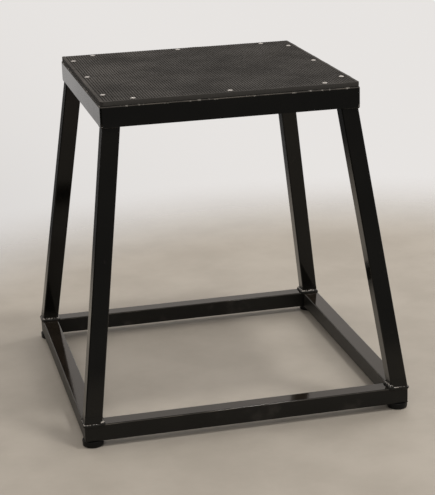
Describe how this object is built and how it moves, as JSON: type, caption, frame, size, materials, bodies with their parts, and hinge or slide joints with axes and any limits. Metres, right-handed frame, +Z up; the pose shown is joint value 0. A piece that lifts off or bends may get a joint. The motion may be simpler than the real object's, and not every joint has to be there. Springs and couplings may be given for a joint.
{
  "type": "plyo box",
  "caption": "Open-frame plyometric jump box: splayed square-tube legs on a welded floor frame carry a folded steel top with a riveted ribbed rubber mat and screw-on rubber feet.",
  "frame": {"origin": "on the floor under the middle of the box, where its upright middle line meets the plane of the feet", "axes": "+Z up, +X to the right of a person who faces the front, +Y from the front to the rear; the mat's ribs run along Y"},
  "size_m": [0.6166, 0.6166, 0.6148],
  "materials": {
    "black_powder_coat": "semi-gloss black powder coat over mild steel",
    "mat_rubber": "matt black ribbed rubber, greyed by wear",
    "foot_rubber": "moulded black rubber",
    "rivet_aluminium": "bright domed blind rivets",
    "zinc_plated_steel": "bright zinc plate"
  },
  "bodies": {
    "root": {"top_tray": "black_powder_coat", "tray_corner_welds": "black_powder_coat", "deck_stiffener_left": "black_powder_coat", "deck_stiffener_right": "black_powder_coat", "stiffener_welds": "black_powder_coat", "leg_front_left": "black_powder_coat", "leg_front_right": "black_powder_coat", "leg_rear_left": "black_powder_coat", "leg_rear_right": "black_powder_coat", "leg_top_welds": "black_powder_coat", "leg_base_welds": "black_powder_coat", "base_rail_front": "black_powder_coat", "base_rail_rear": "black_powder_coat", "base_rail_left": "black_powder_coat", "base_rail_right": "black_powder_coat", "base_corner_welds": "black_powder_coat", "rubber_mat": "mat_rubber", "mat_rivets": "rivet_aluminium", "foot_front_left": "foot_rubber", "foot_front_right": "foot_rubber", "foot_rear_left": "foot_rubber", "foot_rear_right": "foot_rubber", "foot_washers": "zinc_plated_steel", "foot_screws": "zinc_plated_steel"}
  },
  "joints": []
}
